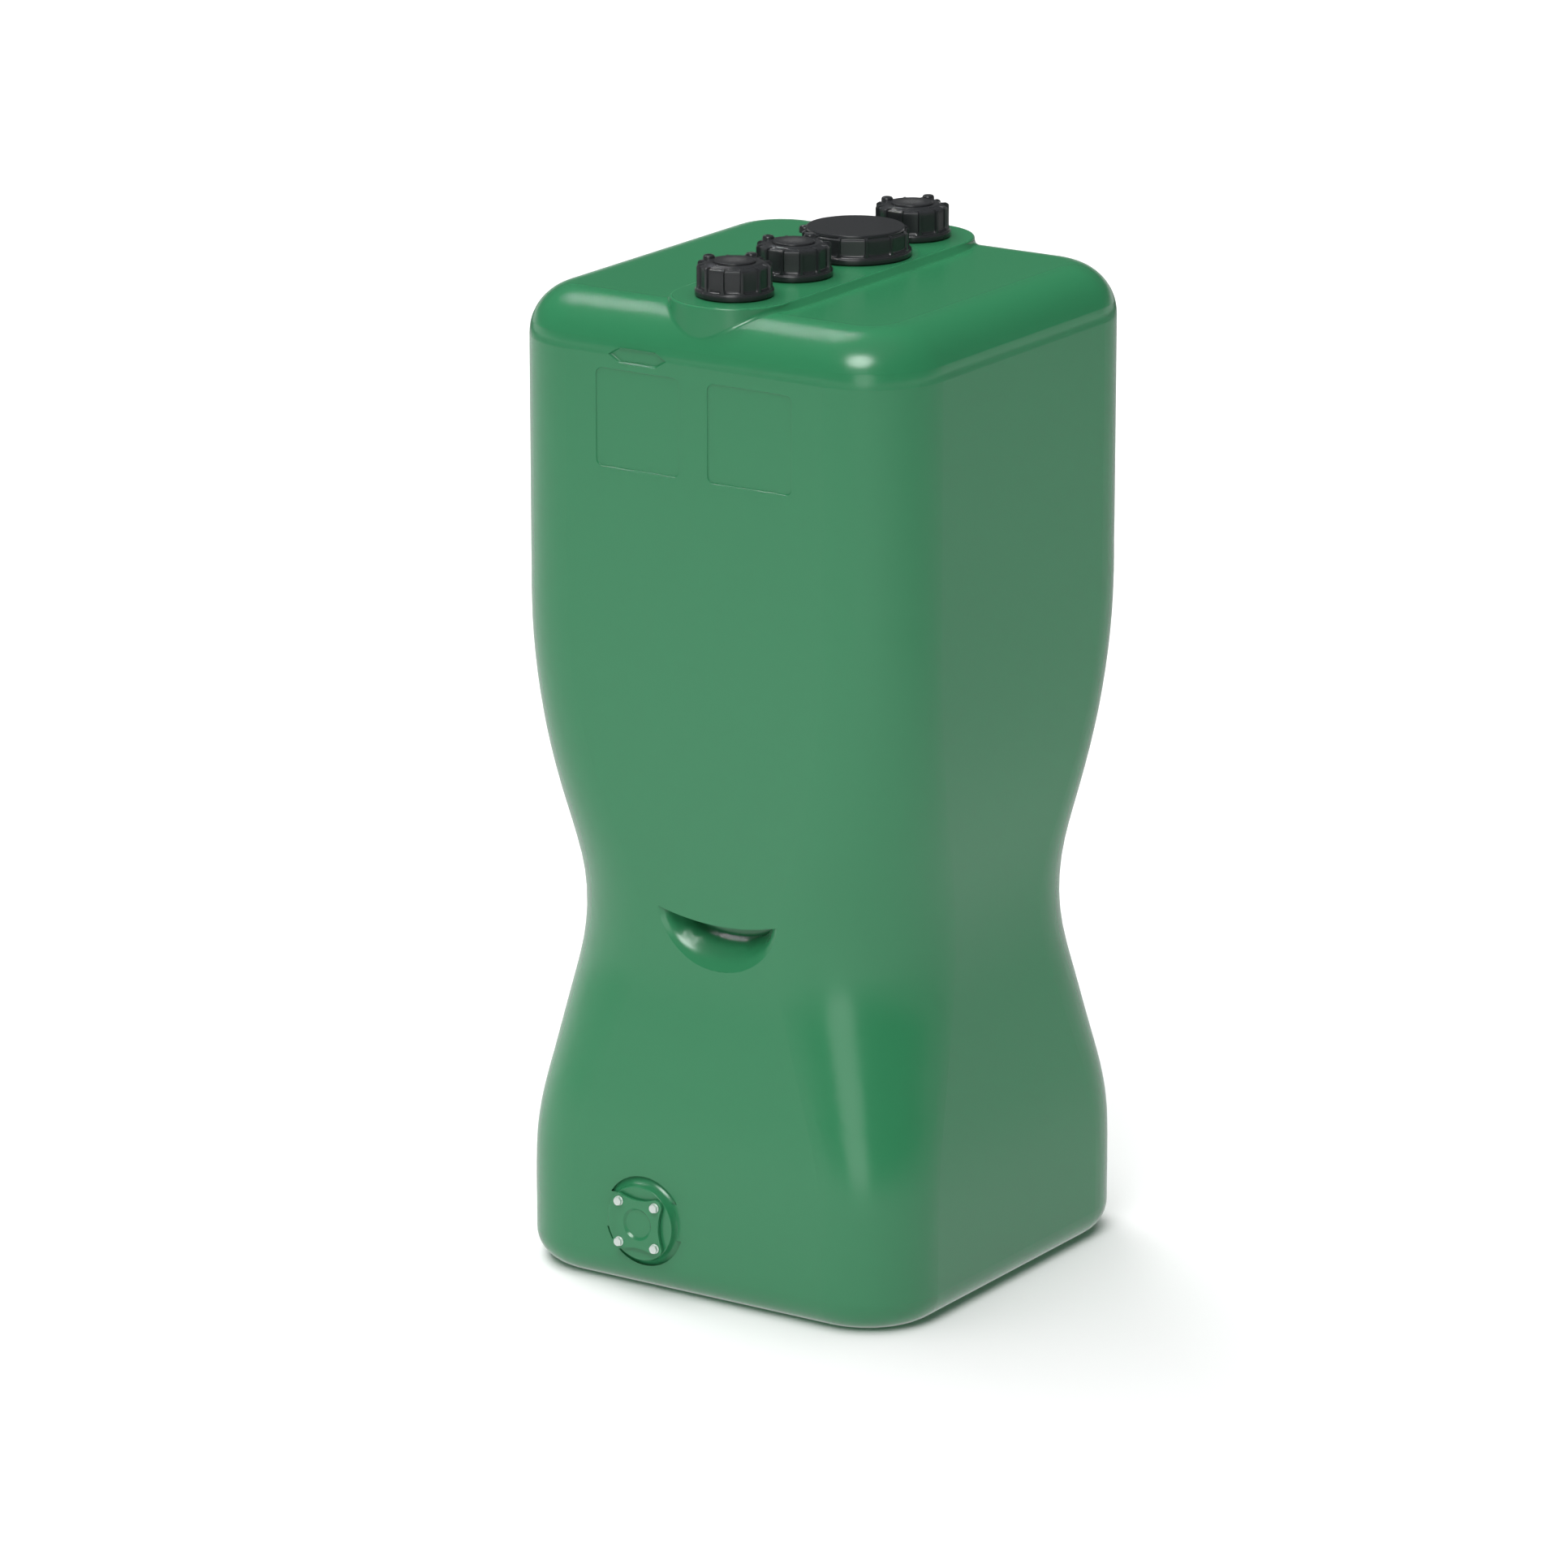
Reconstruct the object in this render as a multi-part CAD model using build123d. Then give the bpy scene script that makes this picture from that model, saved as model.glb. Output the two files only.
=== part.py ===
from build123d import *
from math import atan2, cos, sin, sqrt, tan
import os

# Drinking water storage tank, blow-moulded in green polyethylene, for a cellar or plant room.
# Origin: middle of the base, on the floor. X runs along the front face, Y from front to back, Z up.

# Body
width = 750.0
depth = 750.0
shoulder_height = 1625.0
wall = 6.0
corner_radius = 135.0
shoulder_fillet = 83.0
foot_fillet = 50.0
shoulder_split_height = 1566.0

# Waist: two straight flanks and three tangent arcs, and corners that grow rounder as the faces draw in
upper_bend_height = 955.0
upper_bend_radius = 2600.0
waist_height = 600.0
waist_flank_inset = 48.0
waist_radius = 800.0
lower_bend_height = 235.0
lower_bend_radius = 1000.0
corner_growth = 1.75
waist_sections = 19
waist_run_out = 70.0

# Ridge along the top that carries the necks
ridge_height = 11.0
ridge_half_width = 101.0
ridge_draft = 4.0
ridge_edge_fillet = 3.0
ridge_foot_blend = 8.0
ridge_depth = 62.0
end_neck_margin = 117.0
front_gap_share = 0.51
rear_gap_share = 0.18

# Small necks with their union nuts, blind plugs and gaskets
neck_outer_radius = 50.0
neck_wall = 6.5
neck_height = 40.5
gasket_thickness = 2.5
plug_flange_thickness = 4.0
plug_clearance = 0.4
plug_boss_radius = 31.0
plug_boss_rise = 4.5
boss_edge_fillet = 1.5
nut_floor_gap = 2.0
nut_top_thickness = 5.0
nut_wall = 4.3
nut_thread_clearance = 1.2
nut_shoulder_fillet = 4.5
nut_collar_height = 11.0
nut_collar_rise = 7.0
nut_collar_fillet = 2.5
collar_foot_fillet = 1.0
nut_rib_rise = 4.5
nut_rib_width = 6.5
nut_rib_count = 12
lug_radius = 11.0
lug_fillet = 4.0
lug_drop = 10.0
nut_lug_inset = 7.0
nut_lug_rise = 7.0
nut_lug_angles = (180, 90)

# Large inspection neck with its screw lid
large_neck_outer_radius = 76.0
large_neck_wall = 7.5
large_neck_height = 35.5
lid_disc_radius = 78.5
lid_disc_rise = 4.0
lid_top_thickness = 5.5
lid_wall = 5.2
lid_collar_height = 14.0
lid_collar_rise = 8.1
lid_lug_inset = 2.0
lid_lug_rise = 3.0
lid_lug_angles = (210,)

# Handholds under the waist, front and back
handhold_centre_x = 16.0
handhold_top_height = 642.0
handhold_half_width = 105.0
handhold_drop = 83.0
handhold_lip_sag = 15.5
handhold_depth = 46.0
handhold_inner_half_width = 80.0
handhold_inner_drop = 32.0
handhold_flare = 8.0
handhold_flare_depth = 9.0
handhold_sections = 8

# Flange low on the front: raised round boss, cover plate, gasket and four bolts
flange_x = -100.0
flange_height = 121.0
flange_face_radius = 62.0
flange_foot_radius = 75.0
flange_rise = 13.0
flange_groove_depth = 5.0
flange_rim_fillet = 1.5
flange_bore_radius = 26.0
flange_gasket_thickness = 2.0
flange_gasket_margin = 3.0
bolt_spacing = 69.0
bolt_radius = 4.0
bolt_hole_clearance = 0.3
bolt_length = 24.0
bolt_head_across_flats = 13.0
bolt_head_height = 5.3
washer_radius = 8.0
washer_thickness = 1.6
cover_thickness = 5.0
cover_corner_radius = 13.0
cover_side_sag = 7.0
cover_dish_radius = 27.0
cover_dish_floor_radius = 23.0
cover_dish_depth = 3.5
cover_dish_fillet = 1.0

# Label fields and marking recess on the front
label_width = 158.0
label_height = 160.0
label_centre_x = 105.0
label_centre_height = 1441.0
label_corner_radius = 12.0
label_recess = 2.0
mark_centre_height = 1544.0
mark_length = 110.0
mark_height = 25.0
mark_point = 21.0
mark_recess = 4.0
recess_draft = 30.0


def arc_inset(height, corner_height, corner_inset, angle_above, angle_below, radius):
    """Inset at a height on the tangent arc of a bend, or None where the arc doesn't reach that height."""
    bisector = (angle_above + angle_below) / 2
    reach = radius * tan(abs(angle_below - angle_above) / 2)
    top = corner_height + reach * cos(angle_above)
    bottom = corner_height - reach * cos(angle_below)
    if not bottom < height < top:
        return None
    side = 1 if angle_below > angle_above else -1
    gap = radius / cos((angle_below - angle_above) / 2)
    centre_height = corner_height + side * gap * sin(bisector)
    centre_inset = corner_inset + side * gap * cos(bisector)
    return centre_inset - side * sqrt(radius**2 - (height - centre_height) ** 2)


upper_angle = atan2(waist_flank_inset, upper_bend_height - waist_height)
lower_angle = atan2(waist_flank_inset, waist_height - lower_bend_height)


def inset_at(height):
    """How far the faces are drawn in at a height."""
    if height >= waist_height:
        straight = max(0.0, (upper_bend_height - height) * tan(upper_angle))
    else:
        straight = max(0.0, (height - lower_bend_height) * tan(lower_angle))
    bends = (
        (upper_bend_height, 0.0, 0.0, upper_angle, upper_bend_radius),
        (waist_height, waist_flank_inset, upper_angle, -lower_angle, waist_radius),
        (lower_bend_height, 0.0, -lower_angle, 0.0, lower_bend_radius),
    )
    for bend_height, bend_inset, above, below, radius in bends:
        inset = arc_inset(height, bend_height, bend_inset, above, below, radius)
        if inset is not None:
            return inset
    return straight


def section(height, offset):
    """Horizontal section of the body at a height, drawn in by an offset."""
    inset = inset_at(height)
    radius = corner_radius + corner_growth * inset - offset
    size_x = width - 2 * inset - 2 * offset
    size_y = depth - 2 * inset - 2 * offset
    return Plane.XY.offset(height) * RectangleRounded(size_x, size_y, radius)


def body(offset):
    """The whole closed body without its ridge, drawn in by an offset on every side."""
    waist_top = upper_bend_height + upper_bend_radius * tan(upper_angle / 2) + waist_run_out
    waist_bottom = lower_bend_height - lower_bend_radius * tan(lower_angle / 2) - waist_run_out
    step = (waist_top - waist_bottom) / (waist_sections - 1)
    waist = loft([section(waist_bottom + i * step, offset) for i in range(waist_sections)])
    plan = RectangleRounded(width - 2 * offset, depth - 2 * offset, corner_radius - offset)
    lower = Pos(0, 0, offset) * extrude(plan, waist_bottom - offset)
    lower = fillet(lower.edges().group_by(Axis.Z)[0], foot_fillet - offset)
    upper = Pos(0, 0, waist_top) * extrude(plan, shoulder_height - offset - waist_top)
    upper = fillet(upper.edges().group_by(Axis.Z)[-1], shoulder_fillet - offset)
    return lower + waist + upper


def ridge(offset):
    """The raised strip over the shoulder, with a round end about each end neck."""
    radius = ridge_half_width - offset
    plan = SlotCenterToCenter(depth - 2 * end_neck_margin, 2 * radius, rotation=90)
    strip = extrude(plan, -(ridge_depth - offset), taper=-ridge_draft)
    strip = fillet(strip.edges().group_by(Axis.Z)[-1], ridge_edge_fillet)
    return Pos(0, 0, shoulder_height + ridge_height - offset) * strip


def crescent(half_width, drop, sag):
    """Handhold outline: an upper lip that sags in the middle, over a bowl that is half an ellipse."""
    lip = ThreePointArc((half_width, 0), (0, -sag), (-half_width, 0))
    bowl = EllipticalCenterArc((0, 0), half_width, drop, start_angle=180, arc_size=180)
    return make_face([lip, bowl])


def handhold(offset, side):
    """Pocket of a handhold under its overhanging lip, with a flared lower edge and a floor that
    climbs inward; side is -1 at the front and 1 at the back."""
    face_y = depth / 2 - inset_at(handhold_top_height - handhold_drop)
    corner = (handhold_centre_x, side * face_y, handhold_top_height + offset)
    frame = Plane(corner, x_dir=(-side, 0, 0), z_dir=(0, side, 0))
    layers = []
    for i in range(handhold_sections):
        share = (i / (handhold_sections - 1)) ** 2
        level = share * (handhold_depth + offset)
        flare = handhold_flare * max(0.0, 1 - level / handhold_flare_depth) ** 2
        half = handhold_half_width + share * (handhold_inner_half_width - handhold_half_width) + flare + offset
        drop = handhold_drop + share * (handhold_inner_drop - handhold_drop) + flare + 2 * offset
        sag = handhold_lip_sag * (1 - share / 2)
        layers.append(frame.offset(-level) * crescent(half, drop, sag))
    outside = extrude(layers[0], handhold_depth)
    return outside + loft(layers)


def facing_front(x, y, z):
    """Plane that looks out of the front face at a point."""
    return Plane((x, y, z), x_dir=(1, 0, 0), z_dir=(0, -1, 0))


def flange_boss():
    """Round boss for the flange, raised from the bottom of a groove, with its thick back inside the wall."""
    flare = flange_foot_radius - flange_face_radius
    back = -(wall + flange_groove_depth)
    rim = flange_foot_radius + wall
    profile = make_face([
        Line((0, back), (rim, back)),
        Line((rim, back), (rim, -wall / 2)),
        Line((rim, -wall / 2), (flange_foot_radius, -wall / 2)),
        Line((flange_foot_radius, -wall / 2), (flange_foot_radius, -flange_groove_depth)),
        EllipticalCenterArc((flange_foot_radius, flange_rise), flare, flange_rise + flange_groove_depth,
                            start_angle=180, arc_size=90),
        Line((flange_face_radius, flange_rise), (0, flange_rise)),
        Line((0, flange_rise), (0, back)),
    ])
    boss = revolve(profile, Axis.Y)
    boss = fillet(boss.edges().group_by(Axis.Y)[-1], flange_rim_fillet)
    frame = facing_front(flange_x, -depth / 2, flange_height)
    return frame * Rot(X=90) * boss


def bolt_places(y):
    """Planes of the four flange bolts at a depth."""
    half = bolt_spacing / 2
    return [
        facing_front(flange_x + sx * half, y, flange_height + sz * half)
        for sz in (1, -1)
        for sx in (-1, 1)
    ]


def front_recesses():
    """Two blank label fields and the six-sided marking recess, with sloping sides, cut into the front."""
    label = RectangleRounded(label_width, label_height, label_corner_radius)
    half, point = mark_length / 2, mark_length / 2 - mark_point
    corners = [(-half, 0), (-point, mark_height / 2), (point, mark_height / 2),
               (half, 0), (point, -mark_height / 2), (-point, -mark_height / 2)]
    mark = make_face(Polyline(*corners, close=True))
    places = [
        (label, -label_centre_x, label_centre_height, label_recess),
        (label, label_centre_x, label_centre_height, label_recess),
        (mark, -label_centre_x, mark_centre_height, mark_recess),
    ]
    return [
        extrude(facing_front(x, -depth / 2, z) * outline, -recess, taper=recess_draft)
        for outline, x, z, recess in places
    ]


nut_collar_radius = neck_outer_radius + nut_thread_clearance + nut_wall + nut_collar_rise
lid_collar_radius = large_neck_outer_radius + nut_thread_clearance + lid_wall + lid_collar_rise


def neck_centres():
    """Name, position along the ridge and outer radius of each neck; the gaps between the caps share
    the length that the caps leave free."""
    end = depth / 2 - end_neck_margin
    free = 2 * end - 4 * nut_collar_radius - 2 * lid_collar_radius
    middle = -end + 2 * nut_collar_radius + front_gap_share * free
    large = end - nut_collar_radius - lid_collar_radius - rear_gap_share * free
    return [
        ("front", -end, neck_outer_radius),
        ("middle", middle, neck_outer_radius),
        ("large", large, large_neck_outer_radius),
        ("rear", end, neck_outer_radius),
    ]


ridge_top = shoulder_height + ridge_height


def outer_form():
    """The outside of the moulding: body, ridge blended into the shoulder, and both handholds."""
    plain, strip = body(0), ridge(0)
    form = plain + strip
    form = fillet(new_edges(plain, strip, combined=form), ridge_foot_blend)
    for side in (-1, 1):
        form -= handhold(0, side)
    return form


def inner_form():
    """The space inside the moulding, one wall thickness within the outside."""
    form = body(wall) + ridge(wall)
    for side in (-1, 1):
        form -= handhold(wall, side)
    return form


def tank_shell():
    """The hollow body in one moulding, with ridge, necks, handholds, flange boss and label fields."""
    shell = outer_form() - inner_form()
    shell -= extrude(facing_front(flange_x, -depth / 2, flange_height) * Circle(flange_foot_radius), -wall)
    shell += flange_boss()
    boss_y = -depth / 2 - flange_rise
    bore = facing_front(flange_x, boss_y, flange_height) * Circle(flange_bore_radius)
    shell -= extrude(bore, -(flange_rise + flange_groove_depth + wall))
    hole = Circle(bolt_radius + bolt_hole_clearance)
    reach = bolt_length - cover_thickness - flange_gasket_thickness - washer_thickness
    for frame in bolt_places(boss_y):
        shell -= extrude(frame * hole, -(reach + bolt_hole_clearance))
    for recess in front_recesses():
        shell -= recess
    for name, y, radius in neck_centres():
        height = large_neck_height if name == "large" else neck_height
        thickness = large_neck_wall if name == "large" else neck_wall
        place = Pos(0, y, ridge_top - wall)
        shell += place * extrude(Circle(radius), wall + height)
        shell -= place * extrude(Circle(radius - thickness), wall + height)
    return shell


def split_shell(shell):
    """The moulding as three nodes that meet face to face: wall, top and floor."""
    above = Pos(0, 0, shoulder_split_height) * extrude(Rectangle(2 * width, 2 * depth), shoulder_height)
    floor_plan = RectangleRounded(width - 2 * foot_fillet, depth - 2 * foot_fillet, corner_radius - foot_fillet)
    below = extrude(floor_plan, wall)
    top = shell & above
    floor = shell & below
    return shell - above - below, top, floor


def ribbed_skirt(panel_radius, height, collar_radius, collar_height):
    """Skirt of a screw cap: flat panels, upright ribs that wrap over the shoulder, and a collar at the foot."""
    skirt = extrude(RegularPolygon(panel_radius, nut_rib_count, major_radius=False), height)
    skirt = fillet(skirt.edges().group_by(Axis.Z)[-1], nut_shoulder_fillet)
    rib_radius = panel_radius + nut_rib_rise
    rib_limit = extrude(Circle(rib_radius), height)
    rib_limit = fillet(rib_limit.edges().group_by(Axis.Z)[-1], nut_shoulder_fillet + nut_rib_rise)
    bar = extrude(Rectangle(2 * rib_radius, nut_rib_width), height)
    bars = [Rot(Z=i * 360 / nut_rib_count) * bar for i in range(nut_rib_count // 2)]
    collar = extrude(Circle(collar_radius), collar_height)
    collar = fillet(collar.edges().group_by(Axis.Z)[-1], nut_collar_fillet)
    collar = fillet(collar.edges().group_by(Axis.Z)[0], collar_foot_fillet)
    ribs = rib_limit & (bars[0] + bars[1:])
    return skirt + ribs + collar


def lugs(radius, height, rise, angles):
    """Round grip lugs that stand on the shoulder of a cap."""
    lug = Pos(radius, 0, height - lug_drop) * extrude(Circle(lug_radius), lug_drop + rise)
    lug = fillet(lug.edges().group_by(Axis.Z)[-1], lug_fillet)
    return [Rot(Z=angle) * lug for angle in angles]


def small_neck_parts():
    """Union nut, blind plug and gasket of a small neck, standing on the ridge at the origin."""
    rim = neck_height
    ring = Circle(neck_outer_radius) - Circle(neck_outer_radius - neck_wall)
    gasket = Pos(0, 0, rim) * extrude(ring, gasket_thickness)
    plug_base = rim + gasket_thickness
    boss_height = plug_flange_thickness + nut_top_thickness + plug_boss_rise
    boss = extrude(Circle(plug_boss_radius), boss_height)
    boss = fillet(boss.edges().group_by(Axis.Z)[-1], boss_edge_fillet)
    plug = Pos(0, 0, plug_base) * (extrude(Circle(neck_outer_radius), plug_flange_thickness) + boss)
    inside = neck_outer_radius + nut_thread_clearance
    panel = inside + nut_wall
    height = plug_base + plug_flange_thickness + nut_top_thickness - nut_floor_gap
    nut = ribbed_skirt(panel, height, nut_collar_radius, nut_collar_height)
    nut += lugs(panel - nut_lug_inset, height, nut_lug_rise, nut_lug_angles)
    nut -= extrude(Circle(inside), height - nut_top_thickness)
    nut -= extrude(Circle(plug_boss_radius + plug_clearance), height)
    return Pos(0, 0, nut_floor_gap) * nut, plug, gasket


def large_neck_parts():
    """Screw lid and gasket of the inspection neck, standing on the ridge at the origin."""
    rim = large_neck_height
    ring = Circle(large_neck_outer_radius) - Circle(large_neck_outer_radius - large_neck_wall)
    gasket = Pos(0, 0, rim) * extrude(ring, gasket_thickness)
    inside = large_neck_outer_radius + nut_thread_clearance
    panel = inside + lid_wall
    height = rim + gasket_thickness + lid_top_thickness - nut_floor_gap
    lid = ribbed_skirt(panel, height, lid_collar_radius, lid_collar_height)
    disc = Pos(0, 0, height - lid_disc_rise) * extrude(Circle(lid_disc_radius), 2 * lid_disc_rise)
    lid += fillet(disc.edges().group_by(Axis.Z)[-1], boss_edge_fillet)
    lid += lugs(panel - lid_lug_inset, height, lid_lug_rise, lid_lug_angles)
    lid -= extrude(Circle(inside), height - lid_top_thickness)
    return Pos(0, 0, nut_floor_gap) * lid, gasket


def cover_outline(margin):
    """Square with rounded corners about the bolts and sides that curve in, drawn in by a margin."""
    half = bolt_spacing / 2
    corner = cover_corner_radius - margin
    reach = half + corner
    square = RectangleRounded(2 * reach, 2 * reach, corner)
    radius = (half**2 + cover_side_sag**2) / (2 * cover_side_sag)
    for turn in range(4):
        square -= Rot(Z=90 * turn) * Pos(0, reach + radius - cover_side_sag) * Circle(radius)
    return square


def flange_parts():
    """Cover plate, gasket, bolts and washers of the flange."""
    gasket_y = -depth / 2 - flange_rise
    plate_y = gasket_y - flange_gasket_thickness
    washer_y = plate_y - cover_thickness
    head_y = washer_y - washer_thickness
    hole = Circle(bolt_radius + bolt_hole_clearance)
    half = bolt_spacing / 2
    holes = [Pos(sx * half, sz * half) * hole for sx in (-1, 1) for sz in (-1, 1)]
    outline = cover_outline(0) - holes
    seal = cover_outline(flange_gasket_margin) - holes - Circle(flange_bore_radius)
    gasket = extrude(facing_front(flange_x, gasket_y, flange_height) * seal, flange_gasket_thickness)
    plate_frame = facing_front(flange_x, plate_y, flange_height)
    plate = extrude(plate_frame * outline, cover_thickness)
    dish_floor = plate_frame.offset(cover_thickness - cover_dish_depth)
    to_the_face = (Align.CENTER, Align.CENTER, Align.MIN)
    plate -= dish_floor * Cone(cover_dish_floor_radius, cover_dish_radius, cover_dish_depth, align=to_the_face)
    rims = [edge for edge in plate.edges().filter_by(GeomType.CIRCLE)
            if round(edge.radius, 3) in (cover_dish_radius, cover_dish_floor_radius)]
    plate = fillet(rims, cover_dish_fillet)
    parts = [("flange_gasket", gasket), ("flange_cover", plate)]
    for i, frame in enumerate(bolt_places(washer_y), 1):
        washer = extrude(frame * (Circle(washer_radius) - hole), washer_thickness)
        parts.append((f"flange_washer_{i}", washer))
    for i, frame in enumerate(bolt_places(head_y), 1):
        head = extrude(frame * RegularPolygon(bolt_head_across_flats / 2, 6, major_radius=False), bolt_head_height)
        shank = extrude(frame * Circle(bolt_radius), -bolt_length)
        parts.append((f"flange_bolt_{i}", head + shank))
    return parts


def neck_parts():
    """Nuts, plugs, lid and gaskets on their necks."""
    parts = []
    for name, y, radius in neck_centres():
        place = Pos(0, y, ridge_top)
        if name == "large":
            lid, gasket = large_neck_parts()
            parts.append(("large_screw_lid", place * lid))
        else:
            nut, plug, gasket = small_neck_parts()
            parts.append((f"{name}_union_nut", place * nut))
            parts.append((f"{name}_blind_plug", place * plug))
        parts.append((f"{name}_neck_gasket", place * gasket))
    return parts


def main():
    os.makedirs("parts", exist_ok=True)
    tank_wall, tank_top, tank_floor = split_shell(tank_shell())
    parts = [("tank_wall", tank_wall), ("tank_top", tank_top), ("tank_floor", tank_floor)]
    parts += neck_parts() + flange_parts()
    for name, shape in parts:
        export_step(shape, f"parts/{name}.step")
        print(name, len(shape.solids()), round(shape.volume), shape.bounding_box())


main()
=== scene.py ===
import math

import bmesh
import bpy
from mathutils import Matrix, Vector


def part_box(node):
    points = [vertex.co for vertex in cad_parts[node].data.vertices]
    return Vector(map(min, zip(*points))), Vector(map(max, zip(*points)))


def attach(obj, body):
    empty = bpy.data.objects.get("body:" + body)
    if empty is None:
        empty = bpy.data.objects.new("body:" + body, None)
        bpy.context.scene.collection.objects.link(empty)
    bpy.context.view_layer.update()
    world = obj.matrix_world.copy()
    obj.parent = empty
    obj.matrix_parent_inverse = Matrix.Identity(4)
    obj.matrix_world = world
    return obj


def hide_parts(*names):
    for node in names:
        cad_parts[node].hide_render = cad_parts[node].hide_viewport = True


bl_info = {
    "name": "Drinking water tank",
    "version": (1, 0, 0),
    "blender": (4, 5, 0),
    "location": "View3D > Sidebar > Water tank",
    "description": "Finishes a square blow-moulded drinking water tank over its CAD solids",
    "category": "Object",
}

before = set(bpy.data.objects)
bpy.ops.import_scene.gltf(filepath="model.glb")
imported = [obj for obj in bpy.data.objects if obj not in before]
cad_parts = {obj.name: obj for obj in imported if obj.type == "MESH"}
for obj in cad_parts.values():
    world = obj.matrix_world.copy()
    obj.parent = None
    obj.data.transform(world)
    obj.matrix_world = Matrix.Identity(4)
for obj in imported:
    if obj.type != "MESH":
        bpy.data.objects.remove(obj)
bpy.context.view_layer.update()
SMALL_NECKS = ("front", "middle", "rear")
BODY_NODES = ("tank_wall", "tank_top", "tank_floor")
GASKET_NODES = ("front_neck_gasket", "middle_neck_gasket", "large_neck_gasket", "rear_neck_gasket", "flange_gasket")
BOLT_COUNT = 4
WASHER_THICKNESS = 1.6  # in millimetres
MM = 0.001
ROUND_STEPS = 4  # steps round each corner of an outline
FRONT_FACE = -375  # where the flat front of the wall lies along Y, in millimetres
RECESS_SLOPE = 0.5775  # width of a recess's wall for each millimetre of its depth, from its draft of 30 degrees
WELD_DISTANCE = 0.00002
AXIS = 0.01  # radius at which a turned outline meets its axis, in millimetres; the weld closes it
HARD_EDGE = math.radians(40)  # faces that meet at a sharper angle are shaded with a hard edge


# Colours and materials

def linear(hex_colour):
    """The linear RGBA of an sRGB hex colour."""
    channels = [int(hex_colour[i:i + 2], 16) / 255 for i in (1, 3, 5)]
    return [c / 12.92 if c <= 0.04045 else ((c + 0.055) / 1.055) ** 2.4 for c in channels] + [1.0]


def add_node(tree, kind, inputs=None, **settings):
    """Adds a node to a tree; inputs are values or sockets, by socket name or number."""
    node = tree.nodes.new(kind)
    for name, value in settings.items():
        setattr(node, name, value)
    for name, value in (inputs or {}).items():
        socket = node.inputs[name]
        if isinstance(value, bpy.types.NodeSocket):
            tree.links.new(value, socket)
        else:
            socket.default_value = value
    return node


def new_material(name):
    """An empty material with its Principled BSDF joined to the output."""
    material = bpy.data.materials.new(name)
    material.use_nodes = True
    tree = material.node_tree
    tree.nodes.clear()
    shader = add_node(tree, "ShaderNodeBsdfPrincipled")
    add_node(tree, "ShaderNodeOutputMaterial", {"Surface": shader.outputs["BSDF"]})
    return material, tree, shader


def blow_moulded_polyethylene(colours):
    """Green blow-moulded HDPE: satin gloss skin, faintly uneven where it cooled in the mould."""
    material, tree, shader = new_material("green_blow_moulded_hdpe")
    place = add_node(tree, "ShaderNodeTexCoord").outputs["Object"]
    waves = add_node(tree, "ShaderNodeTexNoise", {"Vector": place, "Scale": 9.0, "Detail": 2.0, "Roughness": 0.4})
    grain = add_node(tree, "ShaderNodeTexNoise", {"Vector": place, "Scale": 900.0, "Detail": 2.0})
    skin = add_node(tree, "ShaderNodeBump", {"Height": waves.outputs["Fac"], "Strength": 0.12, "Distance": 0.0012})
    fine = add_node(tree, "ShaderNodeBump", {"Height": grain.outputs["Fac"], "Strength": 0.12, "Distance": 0.00008,
                                             "Normal": skin.outputs["Normal"]})
    rough = add_node(tree, "ShaderNodeMapRange", {"Value": waves.outputs["Fac"], "To Min": 0.21, "To Max": 0.25})
    shader.inputs["Base Color"].default_value = (*colours.body, 1.0)
    shader.inputs["IOR"].default_value = 1.54
    tree.links.new(rough.outputs["Result"], shader.inputs["Roughness"])
    tree.links.new(fine.outputs["Normal"], shader.inputs["Normal"])
    return material


def moulded_polypropylene(colours):
    """Black injection-moulded polypropylene: fine spark-eroded grain, satin."""
    material, tree, shader = new_material("black_injection_moulded_pp")
    place = add_node(tree, "ShaderNodeTexCoord").outputs["Object"]
    grain = add_node(tree, "ShaderNodeTexNoise", {"Vector": place, "Scale": 700.0, "Detail": 2.0})
    bump = add_node(tree, "ShaderNodeBump", {"Height": grain.outputs["Fac"], "Strength": 0.2, "Distance": 0.0001})
    shader.inputs["Base Color"].default_value = (*colours.caps, 1.0)
    shader.inputs["Roughness"].default_value = 0.24
    shader.inputs["IOR"].default_value = 1.49
    tree.links.new(bump.outputs["Normal"], shader.inputs["Normal"])
    return material


def moulded_rubber(colours):
    """Black moulded EPDM gasket rubber: matt, dull grey-black."""
    material, _, shader = new_material("black_moulded_epdm")
    shader.inputs["Base Color"].default_value = (*colours.gaskets, 1.0)
    shader.inputs["Roughness"].default_value = 0.75
    return material


def zinc_plated_steel(colours):
    """Bright zinc-plated steel bolts: fine tumbled surface with a blue-green cast."""
    material, tree, shader = new_material("bright_zinc_plated_steel")
    place = add_node(tree, "ShaderNodeTexCoord").outputs["Object"]
    grain = add_node(tree, "ShaderNodeTexNoise", {"Vector": place, "Scale": 1800.0, "Detail": 3.0})
    rough = add_node(tree, "ShaderNodeMapRange", {"Value": grain.outputs["Fac"], "To Min": 0.58, "To Max": 0.68})
    shader.inputs["Base Color"].default_value = (*colours.bolts, 1.0)
    shader.inputs["Metallic"].default_value = 1.0
    tree.links.new(rough.outputs["Result"], shader.inputs["Roughness"])
    return material


MATERIALS = {
    "green_polyethylene": blow_moulded_polyethylene,
    "black_polypropylene": moulded_polypropylene,
    "black_rubber": moulded_rubber,
    "zinc_steel": zinc_plated_steel,
}
MADE = {}  # name of each material made so far, by its slot


def material_for(slot):
    """The finish of one of the record's material slots, made on first use."""
    made = bpy.data.materials.get(MADE.get(slot, ""))
    if made is None:
        made = MATERIALS[slot](bpy.context.scene.tank_colours)
        MADE[slot] = made.name
    return made


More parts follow.
